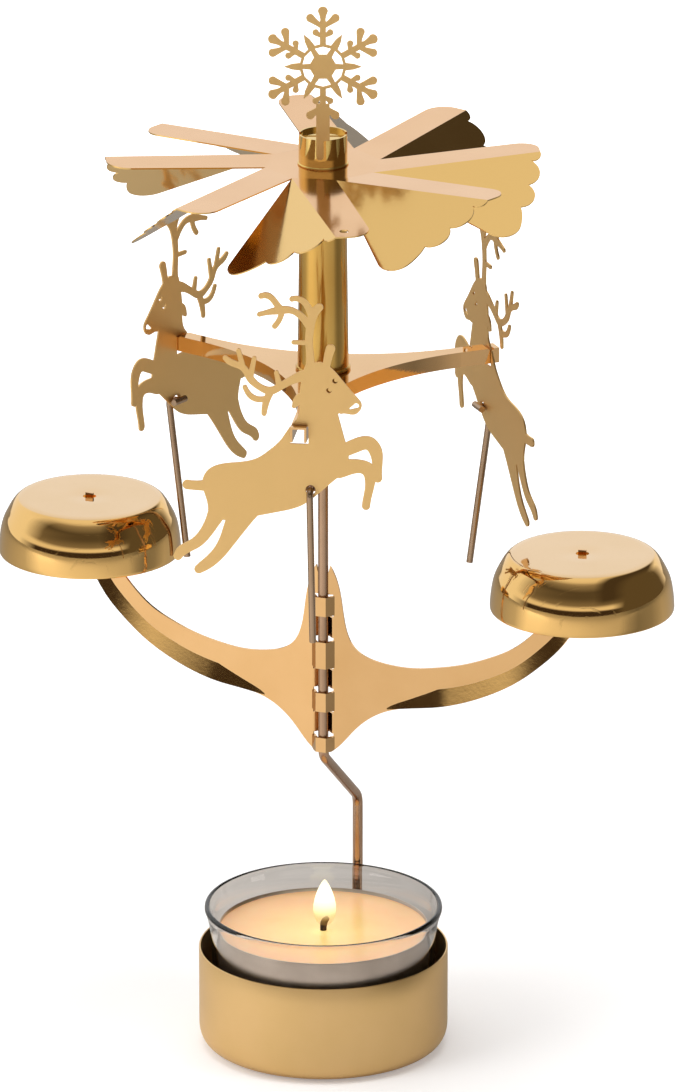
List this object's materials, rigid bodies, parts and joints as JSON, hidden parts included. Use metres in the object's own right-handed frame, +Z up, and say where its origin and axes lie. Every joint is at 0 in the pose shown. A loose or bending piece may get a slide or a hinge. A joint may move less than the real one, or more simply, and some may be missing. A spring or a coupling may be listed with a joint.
{
  "type": "angel chime carousel",
  "caption": "Candle carousel: a tealight's warm air turns a vane wheel on a needle, and rods hung from leaping reindeer strike bells on a bracket; a snowflake on top.",
  "frame": {"origin": "centre of the flat underside of the base cup, where it rests on the table", "axes": "+Z up along the needle's axis, +X to the viewer's right, +Y away from the viewer; the front reindeer leaps towards +X"},
  "size_m": [0.1831, 0.1164, 0.2968],
  "materials": {
    "satin_gold": "satin",
    "mirror_gold": "polished",
    "bell_gold": "polished",
    "vane_gold": "polished",
    "tube_gold": "brushed",
    "matte_gold": "matte",
    "bearing_brass": "satin",
    "steel_wire": "satin",
    "rod_wire": "satin",
    "clear_glass": "clear",
    "aluminium_foil": "satin",
    "tinplate": "satin",
    "wax": "glowing",
    "wick_cotton": "charred"
  },
  "bodies": {
    "base": {"base_cup": "satin_gold", "stand_wire": "steel_wire", "bell_bracket": "mirror_gold"},
    "glass": {"glass_cup": "clear_glass"},
    "tealight": {"tealight_cup": "aluminium_foil", "candle_wax": "wax", "wick_plate": "tinplate", "wick": "wick_cotton"},
    "bell_left_body": {"bell_left": "bell_gold"},
    "bell_right_body": {"bell_right": "bell_gold"},
    "rotor": {"rotor_tube": "tube_gold", "hub_cap": "mirror_gold", "bearing_cup": "bearing_brass", "vane_wheel": "vane_gold", "figure_carrier": "mirror_gold"},
    "snowflake_body": {"snowflake": "matte_gold"},
    "figure_front": {"reindeer_front": "matte_gold"},
    "figure_left": {"reindeer_left": "matte_gold"},
    "figure_right": {"reindeer_right": "matte_gold"},
    "rod_front": {"striker_front": "rod_wire"},
    "rod_left": {"striker_left": "rod_wire"},
    "rod_right": {"striker_right": "rod_wire"}
  },
  "joints": [
    {"name": "glass_lift", "type": "slide", "parent": "base", "child": "glass", "axis": [0, 0, 1], "range_m": [0, 0.014]},
    {"name": "tealight_lift", "type": "slide", "parent": "glass", "child": "tealight", "axis": [0, 0, 1], "range_m": [0, 0.01]},
    {"name": "bell_left_turn", "type": "hinge", "parent": "base", "child": "bell_left_body", "pos_m": [-0.0637, 0.03204, 0.1455], "axis": [0, 0, 1], "continuous": true},
    {"name": "bell_right_turn", "type": "hinge", "parent": "base", "child": "bell_right_body", "pos_m": [0.06964, -0.01531, 0.1455], "axis": [0, 0, 1], "continuous": true},
    {"name": "rotor_spin", "type": "hinge", "parent": "base", "child": "rotor", "pos_m": [0, 0, 0.2489], "axis": [0, 0, 1], "continuous": true},
    {"name": "snowflake_lift", "type": "slide", "parent": "rotor", "child": "snowflake_body", "axis": [0, 0, 1], "range_m": [0, 0.012]},
    {"name": "reindeer_right_swing", "type": "hinge", "parent": "rotor", "child": "figure_right", "pos_m": [0.0445, 0.01852, 0.19335], "axis": [0.3843, -0.9232, 0], "range_deg": [-3, 1]},
    {"name": "striker_right_swing", "type": "hinge", "parent": "figure_right", "child": "rod_right", "pos_m": [0.04335, 0.02129, 0.1757], "axis": [-0.9232, -0.3843, 0], "range_deg": [-5, 25]},
    {"name": "reindeer_left_swing", "type": "hinge", "parent": "rotor", "child": "figure_left", "pos_m": [-0.03829, 0.02928, 0.19335], "axis": [0.6074, 0.7944, 0], "range_deg": [-3, 1]},
    {"name": "striker_left_swing", "type": "hinge", "parent": "figure_left", "child": "rod_left", "pos_m": [-0.04011, 0.02689, 0.1757], "axis": [0.7944, -0.6074, 0], "range_deg": [-5, 25]},
    {"name": "reindeer_front_swing", "type": "hinge", "parent": "rotor", "child": "figure_front", "pos_m": [-0.00621, -0.0478, 0.19335], "axis": [-0.9917, 0.1288, 0], "range_deg": [-3, 1]},
    {"name": "striker_front_swing", "type": "hinge", "parent": "figure_front", "child": "rod_front", "pos_m": [-0.00323, -0.04818, 0.1757], "axis": [0.1288, 0.9917, 0], "range_deg": [-5, 25]}
  ]
}
